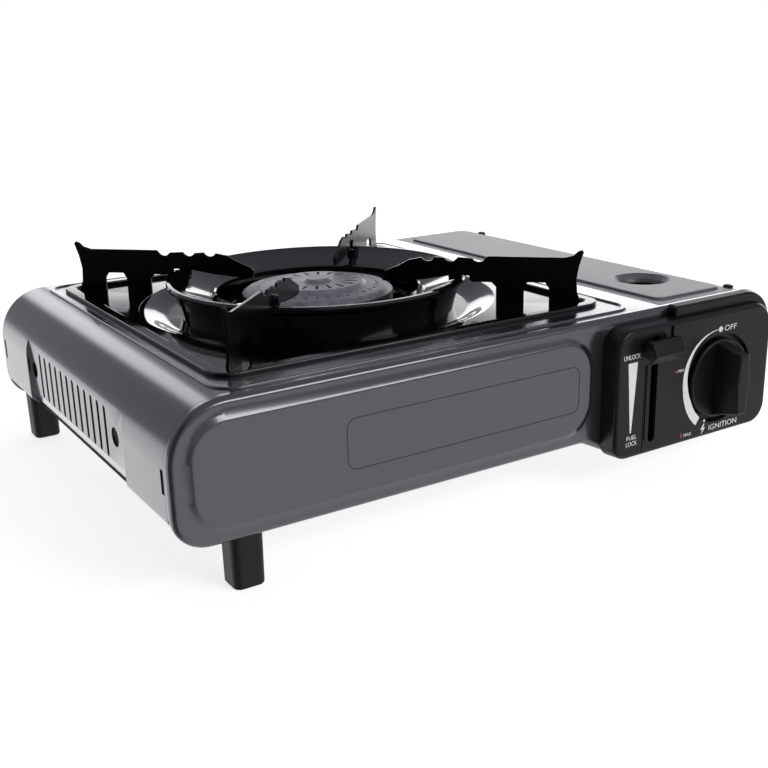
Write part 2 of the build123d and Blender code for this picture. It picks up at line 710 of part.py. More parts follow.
def regulator_cover():
    """Stepped cap over the regulator's diaphragm."""
    profile = (
        (0, COVER_Z),
        (17, COVER_Z),
        (17, COVER_Z + 3),
        (9.5, COVER_Z + 3),
        (8.5, COVER_Z + 7),
        (0, COVER_Z + 7),
    )
    cap = turned(profile, COVER_X, COVER_Y)
    for x, y in cover_screw_spots():
        cap -= rod_z(COVER_Z - 1, COVER_Z + 4, x, y, 1.25)
    return cap


def canister_connector():
    """Brass connector: the canister's nozzle seats in its open bore."""
    body = rod_y(FRONT + 46, FRONT + 53, CAN_X, CAN_Z, 6.0)
    body += rod_y(FRONT + 53, FRONT + 60, CAN_X, CAN_Z, 9.0)
    return body - rod_y(FRONT + 52, FRONT + 61, CAN_X, CAN_Z, 4.0)


def connector_seal():
    """O-ring on the connector's face, round the bore."""
    ring = Pos(CAN_X, FRONT + 60.9, CAN_Z) * Rot(90, 0, 0) * Torus(6.5, 0.9)
    return ring


def jet_nozzle():
    """Brass jet that points into the mixing tube's mouth."""
    hexagon = Plane.YZ * RegularPolygon(4.4, 6)
    nut = Pos(96, TUBE_Y, TUBE_Z) * extrude(hexagon, 4)
    tip = rod_x(92, 96, TUBE_Y, TUBE_Z, 2.4)
    tail = rod_x(100, 106, TUBE_Y, TUBE_Z, 2.45)
    return nut + tip + tail - rod_x(91, 107, TUBE_Y, TUBE_Z, 0.4)


def mixing_tube():
    """Steel tube from the jet to the burner's neck: a straight run, one bend and a mouth."""
    start = (84.0, TUBE_Y, TUBE_Z)
    end_y = TRAY_Y - NECK_R + 0.6
    path = FilletPolyline(start, (TRAY_X, TUBE_Y, TUBE_Z), (TRAY_X, end_y, TUBE_Z), radius=50)
    section = Plane(origin=start, z_dir=(-1, 0, 0)) * (Circle(TUBE_R) - Circle(TUBE_R - 1))
    tube = sweep(section, path=path)
    mouth = (
        (TUBE_R - 1, 0),
        (TUBE_R, 0),
        (11, 4.5),
        (11, 6),
        (10, 6),
        (10, 5),
    )
    flare = revolve(Plane.XZ * make_face(Polyline(*mouth, close=True)), Axis.Z)
    return tube + Pos(84, TUBE_Y, TUBE_Z) * Rot(0, 90, 0) * flare


def burner_body():
    """Pressed burner cup on a closed neck."""
    profile = (
        (0, 46),
        (NECK_R, 46),
        (NECK_R, 73),
        (BURNER_R, 82),
        (BURNER_R, 88),
        (BURNER_R - 1.5, 88),
        (BURNER_R - 1.5, 83.2),
        (NECK_R - 1.5, 74.2),
        (NECK_R - 1.5, 47.5),
        (0, 47.5),
    )
    cup = turned(profile, TRAY_X, TRAY_Y)
    hole = rod_y(TRAY_Y - NECK_R - 3, TRAY_Y - 5, TRAY_X, TUBE_Z, TUBE_R + 0.02)
    return cup - hole


PORTS = 36


def burner_cap():
    """Domed burner head with a ring of ports, a ring of slots and a centre button."""
    profile = (
        (0, 88),
        (CAP_R, 88),
        (CAP_R, 89.4),
        (CAP_R - 2.5, 91.2),
        (26, 92.6),
        (24, 94.2),
        (8, 94.6),
        (6, 96.0),
        (0, 96.0),
    )
    cap = turned(profile, TRAY_X, TRAY_Y)
    inner = (
        (0, 87),
        (BURNER_R - 2.5, 87),
        (BURNER_R - 2.5, 89),
        (24, 90.6),
        (22, 92.4),
        (0, 92.8),
    )
    cap -= turned(inner, TRAY_X, TRAY_Y)
    for i in range(PORTS):
        angle = math.radians(360 * i / PORTS)
        x, y = TRAY_X + 31.5 * math.cos(angle), TRAY_Y + 31.5 * math.sin(angle)
        cap -= rod_z(86, 95, x, y, 1.0)
    for i in range(PORTS // 2):
        spoke = Box(7.0, 1.4, 8.0)
        cap -= Pos(TRAY_X, TRAY_Y, 93) * Rot(0, 0, 360 * i / (PORTS // 2)) * Pos(18, 0, 0) * spoke
    return cap


def burner_bracket():
    """Bridge that carries the burner's neck off the floor."""
    x0, x1 = TRAY_X - 9, TRAY_X + 9
    floor = BODY_BOTTOM + SHEET
    bridge = block(x0, x1, TRAY_Y - 40, TRAY_Y + 40, 44.5, 46)
    for side in (-1, 1):
        near, far = sorted((TRAY_Y + side * 38.5, TRAY_Y + side * 40))
        bridge += block(x0, x1, near, far, floor, 46)
        low, high = sorted((TRAY_Y + side * 38.5, TRAY_Y + side * 52))
        bridge += block(x0, x1, low, high, floor, floor + 1.5)
        bridge -= rod_z(floor - 1, floor + 3, TRAY_X, TRAY_Y + side * 46, 1.6)
    return bridge


def bracket_screws():
    """Two screws that fix the burner's bridge to the floor."""
    floor = BODY_BOTTOM + SHEET
    screws = []
    for side in (-1, 1):
        y = TRAY_Y + side * 46
        head = rod_z(floor + 1.5, floor + 3.5, TRAY_X, y, 3.0)
        screws.append(head + rod_z(floor, floor + 1.5, TRAY_X, y, 1.5))
    return Compound(children=screws)


PIEZO_Y = CAM_Y + CAM_WIDTH / 2 + 0.4
PLUNGER_TIP = KNOB_X - CAM_LOW - 0.5


def piezo_body():
    """Piezo igniter with a bore for its plunger and a terminal on top."""
    case = rod_x(84, 106, PIEZO_Y, KNOB_Z, 4.8) + rod_z(KNOB_Z + 4, KNOB_Z + 7, 88, PIEZO_Y, 2.2)
    return case - rod_x(94, 107, PIEZO_Y, KNOB_Z, 2.0 + RUNNING)


def piezo_plunger():
    return rod_x(100, PLUNGER_TIP, PIEZO_Y, KNOB_Z, 2.0)


def piezo_clip():
    """Clip that holds the igniter to the front pan."""
    clip = block(90, 99, FRONT + SHEET, PIEZO_Y, KNOB_Z - 6.5, KNOB_Z + 6.5)
    return clip - rod_x(89, 100, PIEZO_Y, KNOB_Z, 4.8)


WIRE_R = 1.2


def igniter_wire():
    """Insulated lead from the igniter's terminal to the electrode, held along its run."""
    electrode_x = TRAY_X + ELECTRODE_R
    route = (
        (88, PIEZO_Y, KNOB_Z + 7),
        (88, PIEZO_Y, 78),
        (87, -52, 78),
        (62, -8, 56),
        (electrode_x, TRAY_Y, 42),
        (electrode_x, TRAY_Y, 57),
    )
    path = FilletPolyline(*route, radius=(9, 14, 18, 6))
    section = Plane(origin=route[0], z_dir=(0, 0, 1)) * Circle(WIRE_R)
    wire = sweep(section, path=path)
    expected = math.pi * WIRE_R**2 * path.length
    print("igniter wire volume", round(wire.volume, 1), "expected", round(expected, 1))
    return wire


def electrode_insulator():
    """Ceramic sleeve round the electrode."""
    x = TRAY_X + ELECTRODE_R
    sleeve = rod_z(58, 84, x, TRAY_Y, 2.6) + rod_z(57, 60, x, TRAY_Y, 2.9)
    return sleeve - rod_z(56, 85, x, TRAY_Y, 1.05)


def electrode_rod():
    """Steel electrode, bent in towards the burner's edge."""
    x = TRAY_X + ELECTRODE_R
    tip = rod_x(x - 3.0, x, TRAY_Y, 92, 1.0)
    return rod_z(57, 92, x, TRAY_Y, 1.0) + tip + Pos(x, TRAY_Y, 92) * Sphere(1.0)


def electrode_clip():
    """Strap that holds the electrode's sleeve to the burner's neck."""
    x = TRAY_X + ELECTRODE_R
    strap = block(TRAY_X + NECK_R - 3, x + 4.5, TRAY_Y - 4.5, TRAY_Y + 4.5, 65, 66.5)
    strap -= rod_z(64, 68, TRAY_X, TRAY_Y, NECK_R)
    return strap - rod_z(64, 68, x, TRAY_Y, 2.62)


# ---- Lift-off drip tray, wind ring and pan support ----------------------------------------
def drip_tray():
    """Pressed tray: a rolled square rim, a flat shelf for the fins and a round dish."""
    shelf = slab_top(
        Pos(TRAY_X, TRAY_Y) * (RectangleRounded(204, 204, 9) - Circle(DISH_R - 1)),
        TRAY_FLOOR - 1,
        TRAY_FLOOR,
    )
    dish = (
        (DISH_R, TRAY_FLOOR),
        (DISH_R - 4, TRAY_FLOOR - 0.6),
        (DISH_R - 13, DISH_Z + 0.4),
        (DISH_R - 16, DISH_Z),
        (TRAY_HOLE_R + 3, DISH_Z),
        (TRAY_HOLE_R + 1, DISH_Z + 1.2),
        (TRAY_HOLE_R + 1, DISH_Z + 3.6),
        (TRAY_HOLE_R, DISH_Z + 3.6),
        (TRAY_HOLE_R, DISH_Z + 0.8),
        (TRAY_HOLE_R + 2.6, DISH_Z - 1),
        (DISH_R - 15.6, DISH_Z - 1),
        (DISH_R - 12.4, DISH_Z - 0.6),
        (DISH_R - 3.6, TRAY_FLOOR - 1.7),
        (DISH_R, TRAY_FLOOR - 1),
    )
    tray = shelf + turned(dish, TRAY_X, TRAY_Y)
    rim = frame_square(TRAY_HALF, 101, DECK_Z + 0.1, DECK_Z + 1.8, 12)
    rim = fillet(rim.faces().sort_by(Axis.Z)[-1].edges(), 0.8)
    rim -= frame_square(TRAY_HALF - 1, 102.6, DECK_Z, DECK_Z + 0.8, 11)
    return tray + rim + frame_square(102.4, 101, TRAY_FLOOR - 1, DECK_Z + 1, 9)


def wind_ring():
    """Wind ring on the tray's dish: a flared wall, a rolled rim and a sloped inner skirt."""
    profile = (
        (RING_BASE_R, DISH_Z),
        (RING_BASE_R + 0.6, 83),
        (75.6, 93.6),
        (RING_RIM_R, 95.8),
        (RING_RIM_R + 0.4, 97.2),
        (RING_RIM_R, RING_TOP),
        (RING_RIM_R - 1.8, RING_TOP),
        (75.6, 97.2),
        (57.4, 89.6),
        (56.0, 89.8),
        (54.8, 91.6),
        (53.8, 91.0),
        (55.4, 88.6),
        (57.6, 88.5),
        (74.2, 95.4),
        (74.6, 94.4),
        (RING_BASE_R - 0.6, 83),
        (RING_BASE_R - 1, DISH_Z),
    )
    ring = turned(profile, TRAY_X, TRAY_Y)
    for angle in FIN_ANGLES.values():
        ear = outline((70.5, 95.6, 0), (70.5, 103.5, 2.5), (77.5, 103.5, 2.5), (77.5, 97.5, 0))
        place = fin_place(angle)
        side = FIN_THICKNESS / 2
        tab = extrude(Plane.XZ.offset(-side - 1.2) * ear, 1.2)
        tab -= Pos(74, side + 0.6, 100.6) * Rot(90, 0, 0) * Cylinder(1.25, 3)
        ring += place * tab
        notch = Pos(66.2, 0, 96.4) * Box(26, FIN_THICKNESS + 0.04, 9)
        ring -= place * (notch & Pos(66.2, 0, 99.4) * Box(26.4, 4, 6.4))
    return ring


def fin_place(angle):
    return Pos(TRAY_X, TRAY_Y, 0) * Rot(0, 0, angle)


def pan_fin(angle):
    """Upright fin: a level rest for pans, three scallops, an outer horn and two open legs."""
    edge = Polyline(
        (139.0, TRAY_FLOOR),
        (136.6, 91),
        (136.0, 98),
        (137.2, 105),
        (139.4, 112.0),
        (138.4, 113.0),
        (136.6, 112.4),
        (134.2, 110.2),
        (130.0, FIN_TOP),
        (91.0, FIN_TOP),
    )
    # The three scallops: each is a small dip between two bumps.
    scallops = []
    for centre in (86.5, 72.0, 60.0):
        scallops.append(((centre + 3.4, 108.2), (centre, 106.0), (centre - 3.4, 107.8)))
    crest = [(91.0, FIN_TOP)]
    curves = []
    for right, dip, left in scallops:
        curves.append(Line(crest[-1], right))
        curves.append(ThreePointArc(right, dip, left))
        crest.append(left)
    tail = Polyline(
        crest[-1],
        (50.0, 106.6),
        (45.0, 103.8),
        (37.0, 100.4),
        (35.6, 99.0),
        (35.6, 95.2),
        (46.0, 95.2),
        (58.0, 96.4),
        (72.6, 98.9),
        (81.6, 98.9),
        (81.6, 96.6),
        (83.0, 95.6),
        (93.0, 95.6),
        (95.4, 93.2),
        (95.4, TRAY_FLOOR),
        (109.6, TRAY_FLOOR),
        (109.6, 93.0),
        (111.4, 96.0),
        (120.4, 96.0),
        (122.4, 93.0),
        (122.4, TRAY_FLOOR),
        (139.0, TRAY_FLOOR),
    )
    face = make_face([edge, *curves, tail])
    half = FIN_THICKNESS / 2
    fin = extrude(Plane.XZ.offset(-half) * face, FIN_THICKNESS)
    fin -= Pos(74, 0, 100.6) * Rot(90, 0, 0) * Cylinder(1.25, 4)
    return fin_place(angle) * fin


def fin_rivets():
    """One rivet through each fin and its ear on the wind ring."""
    rivets = []
    side = FIN_THICKNESS / 2
    for angle in FIN_ANGLES.values():
        shank = Pos(74, 0.6, 100.6) * Rot(90, 0, 0) * Cylinder(1.2, FIN_THICKNESS + 1.2)
        near = Pos(74, side + 1.2 + 0.5, 100.6) * Rot(90, 0, 0) * Cylinder(2.3, 1.0)
        far = Pos(74, -side - 0.5, 100.6) * Rot(90, 0, 0) * Cylinder(2.3, 1.0)
        rivets.append(fin_place(angle) * (shank + near + far))
    return Compound(children=rivets)


# ---- Write every sub-part -----------------------------------------------------------------
def sub_parts():
    parts = {
        "body_shell": body_shell(),
        "front_panel": front_panel(),
        "back_panel": back_panel(),
        "bottom_plate": bottom_plate(),
        "bay_tub": bay_tub(),
        "bay_divider": bay_divider(),
        "heat_plate": heat_plate(),
        "canister_cradle": canister_cradle(),
        "canister_lid": canister_lid(),
        "lid_hinge_pins": lid_hinge_pins(),
        "lid_bumpers": lid_bumpers(),
        "foot_screws": foot_screws(),
        "panel_screws": panel_screws(),
        "control_panel": control_panel(),
        "control_knob": control_knob(),
        "valve_spindle": valve_spindle(),
        "ignition_cam": ignition_cam(),
        "lock_lever": lock_lever(),
        "lever_paddle": lever_paddle(),
        "lever_bracket": lever_bracket(),
        "lever_pin": lever_pin(),
        "canister_pusher": canister_pusher(),
        "regulator_body": regulator_body(),
        "regulator_cover": regulator_cover(),
        "regulator_screws": regulator_screws(),
        "canister_connector": canister_connector(),
        "connector_seal": connector_seal(),
        "jet_nozzle": jet_nozzle(),
        "mixing_tube": mixing_tube(),
        "burner_body": burner_body(),
        "burner_cap": burner_cap(),
        "burner_bracket": burner_bracket(),
        "bracket_screws": bracket_screws(),
        "piezo_body": piezo_body(),
        "piezo_plunger": piezo_plunger(),
        "piezo_clip": piezo_clip(),
        "igniter_wire": igniter_wire(),
        "electrode_insulator": electrode_insulator(),
        "electrode_rod": electrode_rod(),
        "electrode_clip": electrode_clip(),
        "drip_tray": drip_tray(),
        "wind_ring": wind_ring(),
        "fin_rivets": fin_rivets(),
    }
    for name in FEET:
        parts[name] = foot(name)
    for name, angle in FIN_ANGLES.items():
        parts[name] = pan_fin(angle)
    return parts


os.makedirs("parts", exist_ok=True)
for node, shape in sub_parts().items():
    export_step(shape, f"parts/{node}.step")
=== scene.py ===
"""Portable butane stove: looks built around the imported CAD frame."""

import json
import math

import bmesh
import bpy
from mathutils import Matrix, Vector


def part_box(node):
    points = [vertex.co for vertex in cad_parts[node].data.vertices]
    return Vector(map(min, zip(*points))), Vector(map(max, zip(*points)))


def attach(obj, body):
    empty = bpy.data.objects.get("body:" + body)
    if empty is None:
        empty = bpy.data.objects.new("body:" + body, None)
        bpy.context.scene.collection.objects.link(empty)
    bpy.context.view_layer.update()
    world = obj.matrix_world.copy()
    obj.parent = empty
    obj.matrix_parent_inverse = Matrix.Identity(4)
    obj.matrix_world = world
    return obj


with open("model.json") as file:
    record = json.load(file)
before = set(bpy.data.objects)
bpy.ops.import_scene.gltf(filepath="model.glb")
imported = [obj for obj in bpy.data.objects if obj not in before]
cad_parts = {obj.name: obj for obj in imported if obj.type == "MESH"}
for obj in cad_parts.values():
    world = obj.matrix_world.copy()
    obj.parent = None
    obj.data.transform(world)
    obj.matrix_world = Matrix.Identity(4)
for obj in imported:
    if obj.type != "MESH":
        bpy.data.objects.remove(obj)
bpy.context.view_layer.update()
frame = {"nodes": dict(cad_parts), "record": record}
NODES = frame["nodes"]


# ---- Materials ----------------------------------------------------------------------------
# Textures run in the frame's metres. Heights of bumps are in metres too.
FLAKE_SCALE = 3200.0        # metallic flakes
FLAKE_HEIGHT = 0.000005
CLOUD_SCALE = 9.0           # slow change of gloss over a painted panel
PAINT_PEEL_SCALE = 420.0    # orange peel in sprayed paint
PAINT_PEEL_HEIGHT = 0.00001
ENAMEL_PEEL_SCALE = 240.0   # the coarser orange peel in fired enamel
ENAMEL_PEEL_HEIGHT = 0.00003
SPECK_SCALE = 900.0         # specks in enamel
DUST_SCALE = 60.0           # dust in the enamel's gloss
WEAR_SCALE = 14.0           # handling wear on plastic
GRAIN_SCALE = 1500.0        # spark-eroded grain on plastic
GRAIN_HEIGHT = 0.00006
STREAK_SCALE = 300.0        # rolling or turning streaks on metal
STREAK_HEIGHT = 0.00003
METAL_CLOUD_SCALE = 35.0
INK_SCALE = 1800.0          # uneven cover of screen-printed ink
INK_GRAIN_HEIGHT = 0.00002


def new_material(name):
    material = bpy.data.materials.new(name)
    material.use_nodes = True
    tree = material.node_tree
    shader = tree.nodes["Principled BSDF"]
    return material, tree, shader


def set_sockets(shader, **values):
    for key, value in values.items():
        shader.inputs[key.replace("_", " ")].default_value = value


def link_sockets(tree, shader, **sources):
    for key, source in sources.items():
        tree.links.new(source, shader.inputs[key.replace("_", " ")])


def coordinates(tree):
    """Object coordinates, which are the row frame's metres."""
    return tree.nodes.new("ShaderNodeTexCoord").outputs["Object"]


def noise(tree, vector, scale, detail=2.0):
    node = tree.nodes.new("ShaderNodeTexNoise")
    node.inputs["Scale"].default_value = scale
    node.inputs["Detail"].default_value = detail
    tree.links.new(vector, node.inputs["Vector"])
    return node.outputs["Fac"]


def ramp(tree, value, low, high, start=0.3, end=0.7):
    """Blend between two colours as value goes from start to end."""
    node = tree.nodes.new("ShaderNodeValToRGB")
    first, last = node.color_ramp.elements
    first.position, first.color = start, (*low, 1)
    last.position, last.color = end, (*high, 1)
    tree.links.new(value, node.inputs["Fac"])
    return node.outputs["Color"]


def span(tree, value, low, high):
    """Map 0..1 onto low..high."""
    node = tree.nodes.new("ShaderNodeMapRange")
    node.inputs["To Min"].default_value = low
    node.inputs["To Max"].default_value = high
    tree.links.new(value, node.inputs["Value"])
    return node.outputs["Result"]


def bump(tree, shader, heights):
    """Chain bump nodes: heights is a list of (value socket, distance in metres, strength)."""
    previous = None
    for value, distance, strength in heights:
        node = tree.nodes.new("ShaderNodeBump")
        node.inputs["Distance"].default_value = distance
        node.inputs["Strength"].default_value = strength
        tree.links.new(value, node.inputs["Height"])
        if previous is not None:
            tree.links.new(previous, node.inputs["Normal"])
        previous = node.outputs["Normal"]
    tree.links.new(previous, shader.inputs["Normal"])


def metallic_paint(name, dark, light, roughness, coat, metal):
    """Metallic lacquer: fine flake in the colour, faint orange peel and a clear coat."""
    material, tree, shader = new_material(name)
    vector = coordinates(tree)
    flakes = noise(tree, vector, FLAKE_SCALE, detail=1.0)
    clouds = noise(tree, vector, CLOUD_SCALE, detail=3.0)
    peel = noise(tree, vector, PAINT_PEEL_SCALE)
    link_sockets(tree, shader,
                 Base_Color=ramp(tree, flakes, dark, light, 0.35, 0.65),
                 Roughness=span(tree, clouds, roughness - 0.03, roughness + 0.04))
    set_sockets(shader, Metallic=metal, Coat_Weight=coat, Coat_Roughness=0.06)
    bump(tree, shader, [(peel, PAINT_PEEL_HEIGHT, 0.12), (flakes, FLAKE_HEIGHT, 0.1)])
    return material


def enamel(name, gloss, specular):
    """Black enamel with orange peel and faint dust in the gloss."""
    material, tree, shader = new_material(name)
    vector = coordinates(tree)
    specks = noise(tree, vector, SPECK_SCALE)
    dust = noise(tree, vector, DUST_SCALE, detail=4.0)
    peel = noise(tree, vector, ENAMEL_PEEL_SCALE)
    black = ramp(tree, specks, (0.002, 0.002, 0.0025), (0.005, 0.005, 0.0055), 0.4, 0.8)
    link_sockets(tree, shader, Base_Color=black, Roughness=span(tree, dust, gloss, gloss + 0.08))
    set_sockets(shader, Metallic=0.0, Specular_IOR_Level=specular)
    bump(tree, shader, [(peel, ENAMEL_PEEL_HEIGHT, 0.25)])
    return material


def moulded(name, base, grain, roughness, scale=GRAIN_SCALE):
    """Moulded plastic, rubber or ceramic: a fine grain, and colour and gloss that wear together."""
    material, tree, shader = new_material(name)
    vector = coordinates(tree)
    wear = noise(tree, vector, WEAR_SCALE, detail=4.0)
    low = tuple(c * 0.8 for c in base)
    high = tuple(min(1.0, c * 1.25 + 0.002) for c in base)
    link_sockets(tree, shader,
                 Base_Color=ramp(tree, wear, low, high),
                 Roughness=span(tree, wear, roughness - 0.05, roughness + 0.06))
    set_sockets(shader, Specular_IOR_Level=0.4)
    bump(tree, shader, [(noise(tree, vector, scale), GRAIN_HEIGHT, grain)])
    return material


def bare_metal(name, dark, light, roughness, stretch=(1, 1, 1)):
    """Bare or plated metal: streaks, closer together along the stretched axes, and cloudy gloss."""
    material, tree, shader = new_material(name)
    vector = coordinates(tree)
    mapping = tree.nodes.new("ShaderNodeMapping")
    mapping.inputs["Scale"].default_value = stretch
    tree.links.new(vector, mapping.inputs["Vector"])
    streaks = noise(tree, mapping.outputs["Vector"], STREAK_SCALE, detail=3.0)
    clouds = noise(tree, vector, METAL_CLOUD_SCALE, detail=3.0)
    link_sockets(tree, shader,
                 Base_Color=ramp(tree, streaks, dark, light),
                 Roughness=span(tree, clouds, roughness - 0.07, roughness + 0.09))
    set_sockets(shader, Metallic=1.0)
    bump(tree, shader, [(streaks, STREAK_HEIGHT, 0.3)])
    return material


def print_ink(name, colour):
    """Screen-printed ink with slightly uneven cover."""
    material, tree, shader = new_material(name)
    cover = noise(tree, coordinates(tree), INK_SCALE)
    low = tuple(c * 0.86 for c in colour)
    link_sockets(tree, shader, Base_Color=ramp(tree, cover, low, colour, 0.3, 0.6))
    set_sockets(shader, Roughness=0.45)
    bump(tree, shader, [(cover, INK_GRAIN_HEIGHT, 0.2)])
    return material


# One material for each slot of the record
MATERIALS = {
    "grey_body": metallic_paint(
        "grey_metallic", (0.135, 0.137, 0.145), (0.160, 0.162, 0.170), roughness=0.2, coat=0.7, metal=0.85),
    "lid_grey": metallic_paint(
        "lid_metallic", (0.20, 0.198, 0.203), (0.26, 0.257, 0.263), roughness=0.40, coat=0.1, metal=0.4),
    "panel_black": moulded("panel_plastic", (0.006, 0.006, 0.0065), grain=0.2, roughness=0.3),
    "knob_black": moulded("knob_plastic", (0.005, 0.005, 0.0055), grain=0.15, roughness=0.36),
    "foot_black": moulded("foot_plastic", (0.008, 0.008, 0.008), grain=0.4, roughness=0.5, scale=900.0),
    "enamel_black": enamel("black_enamel", gloss=0.03, specular=0.9),
    "zinc_steel": bare_metal(
        "zinc_plate", (0.34, 0.34, 0.35), (0.52, 0.52, 0.53), roughness=0.36, stretch=(1, 6, 6)),
    "cast_alloy": bare_metal("cast_alloy", (0.30, 0.30, 0.32), (0.44, 0.44, 0.46), roughness=0.45),
    "brass": bare_metal("brass", (0.55, 0.40, 0.16), (0.76, 0.58, 0.27), roughness=0.28),
    "rubber_black": moulded("rubber", (0.012, 0.012, 0.012), grain=0.4, roughness=0.6, scale=1100.0),
    "ceramic_white": moulded("ceramic", (0.74, 0.72, 0.66), grain=0.1, roughness=0.22, scale=500.0),
    "igniter_black": moulded("igniter_plastic", (0.02, 0.02, 0.02), grain=0.3, roughness=0.42),
}
SLOTS = {part["node"]: part["material_slot"] for part in frame["record"]["subparts"]}
SOOTY = enamel("burnt_enamel", gloss=0.2, specular=0.25)    # the fins have lost some of their gloss
INK_WHITE = print_ink("white_ink", (0.93, 0.93, 0.92))
INK_RED = print_ink("red_ink", (0.45, 0.03, 0.03))
INK_GREY = print_ink("grey_ink", (0.035, 0.035, 0.035))

EDGE_WIDTH = 0.0003
EDGE_SEGMENTS = 2
EDGE_ANGLE = math.radians(30)
WELD_DISTANCE = 0.00001
FLATNESS_WEIGHT = 90


def soften(obj):
    """Small rounded edges with smooth normals, without touching the mesh itself."""
    weld = obj.modifiers.new("weld", "WELD")
    weld.merge_threshold = WELD_DISTANCE
    edge = obj.modifiers.new("edge", "BEVEL")
    edge.width = EDGE_WIDTH
    edge.segments = EDGE_SEGMENTS
    edge.limit_method = "ANGLE"
    edge.angle_limit = EDGE_ANGLE
    edge.use_clamp_overlap = True
    for face in obj.data.polygons:
        face.use_smooth = True
    flats = obj.modifiers.new("flats", "WEIGHTED_NORMAL")
    flats.mode = "FACE_AREA_WITH_ANGLE"
    flats.weight = FLATNESS_WEIGHT


for node, obj in NODES.items():
    obj.data.materials.clear()
    obj.data.materials.append(SOOTY if node.startswith("fin_") else MATERIALS[SLOTS[node]])
    soften(obj)


# ---- Prints -------------------------------------------------------------------------------
# Thin ink on the control panel and the front field. Their (x, z) points are in millimetres.
INK = 0.00006                                       # thickness, in metres
FACE_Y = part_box("control_panel")[0][1] + 0.0005     # the panel's face, behind its front edge
FIELD_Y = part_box("front_panel")[0][1]
KNOB_X, KNOB_Z = 124.0, 45.6


def printed(name, mesh, plane, ink):
    """Turn a flat mesh drawn in x and y into thin ink that stands on an upright plane."""
    low = min(v.co.z for v in mesh.vertices)
    for v in mesh.vertices:
        v.co = Vector((v.co.x, plane - (v.co.z - low), v.co.y))
    mesh.materials.append(ink)
    obj = bpy.data.objects.new(name, mesh)
    bpy.context.scene.collection.objects.link(obj)
    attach(obj, "chassis")


def finish_mesh(bm, name):
    bmesh.ops.recalc_face_normals(bm, faces=bm.faces)
    mesh = bpy.data.meshes.new(name)
    bm.to_mesh(mesh)
    bm.free()
    return mesh


def top_ring(bm, points):
    return [bm.verts.new((x / 1000, z / 1000, INK)) for x, z in points]


def ink_shape(name, points, plane, ink, hole=()):
    """Filled outline of (x, z) points; with a hole of as many points, a frame."""
    bm = bmesh.new()
    outer, inner = top_ring(bm, points), top_ring(bm, hole)
    count = len(outer)
    if inner:
        for i in range(count):
            j = (i + 1) % count
            bm.faces.new((outer[i], outer[j], inner[j], inner[i]))
    else:
        bm.faces.new(outer)
    for loop in (outer, inner):
        base = [bm.verts.new((v.co.x, v.co.y, 0)) for v in loop]
        for i in range(len(loop)):
            j = (i + 1) % len(loop)
            bm.faces.new((loop[i], loop[j], base[j], base[i]))
    printed(name, finish_mesh(bm, name), plane, ink)


def legend(name, word, left, bottom, width, height):
    """Plain word on the control panel, stretched to a width and a height."""
    curve = bpy.data.curves.new(name, "FONT")
    curve.body = word
    curve.extrude = INK / 2
    text = bpy.data.objects.new(name + "_curve", curve)
    bpy.context.scene.collection.objects.link(text)
    bpy.context.view_layer.update()
    mesh = bpy.data.meshes.new_from_object(text.evaluated_get(bpy.context.evaluated_depsgraph_get()))
    bpy.data.objects.remove(text)
    xs = [v.co.x for v in mesh.vertices]
    ys = [v.co.y for v in mesh.vertices]
    for v in mesh.vertices:
        v.co.x = (left + (v.co.x - min(xs)) / (max(xs) - min(xs)) * width) / 1000
        v.co.y = (bottom + (v.co.y - min(ys)) / (max(ys) - min(ys)) * height) / 1000
    mesh.materials.clear()
    printed(name, mesh, FACE_Y, INK_WHITE)


def circle(x, z, radius, count=20):
    turns = [2 * math.pi * i / count for i in range(count)]
    return [(x + radius * math.cos(t), z + radius * math.sin(t)) for t in turns]


# Name, word, left, bottom, width, height
LEGENDS = (
    ("print_off", "OFF", 125.7, 70.2, 8.8, 2.9),
    ("print_ignition", "IGNITION", 118.8, 17.8, 21.2, 3.0),
    ("print_max", "MAX", 100.4, 18.1, 5.4, 1.8),
    ("print_min", "MIN", 93.3, 53.8, 4.0, 1.5),
    ("print_unlock", "UNLOCK", 55.9, 66.4, 10.9, 2.4),
    ("print_fuel", "FUEL", 59.9, 24.9, 6.8, 2.1),
    ("print_lock", "LOCK", 59.7, 21.6, 7.4, 2.3),
)
WEDGE = [(59.0, 64.6), (65.2, 64.6), (62.7, 28.5), (61.9, 28.5)]
BOLT = [(114.6, 22.3), (112.4, 19.3), (114.1, 19.6), (113.3, 16.6),
        (116.2, 20.4), (114.6, 20.1), (115.5, 22.5)]
LOW_FLAME = [(91.5, 53.9), (92.2, 53.9), (92.3, 54.7), (91.9, 55.7), (91.4, 54.8)]
HIGH_FLAME = [(97.9, 18.0), (99.0, 18.0), (99.2, 19.2), (98.5, 21.2), (97.7, 19.4)]
MARKS = (
    ("print_wedge", WEDGE, INK_WHITE),
    ("print_off_dot", circle(122.8, 71.6, 1.5), INK_WHITE),
    ("print_bolt", BOLT, INK_WHITE),
    ("print_bolt_dot", circle(115.0, 24.0, 0.75, 14), INK_WHITE),
    ("print_low_flame", LOW_FLAME, INK_RED),
    ("print_high_flame", HIGH_FLAME, INK_RED),
)
for row in LEGENDS:
    legend(*row)
for name, points, ink in MARKS:
    ink_shape(name, points, FACE_Y, ink)

SWEEP_STEPS = 40
SWEEP_START, SWEEP_END = 95, 236        # degrees round the knob, from OFF to IGNITION
SWEEP_RADIUS = 26.3                     # of its outer edge
SWEEP_BULGE, BULGE_RATE = 1.12, 1.6     # the outer edge swells by this in the first part
SWEEP_FLARE, FLARE_FROM = 4.8, 0.75     # and turns outwards from this share of the way on
HAIRLINE, BROAD = 0.25, 4.4             # width at the start, and what it grows by
TAPER_RATE, TAPER_POWER = 1.25, 1.2


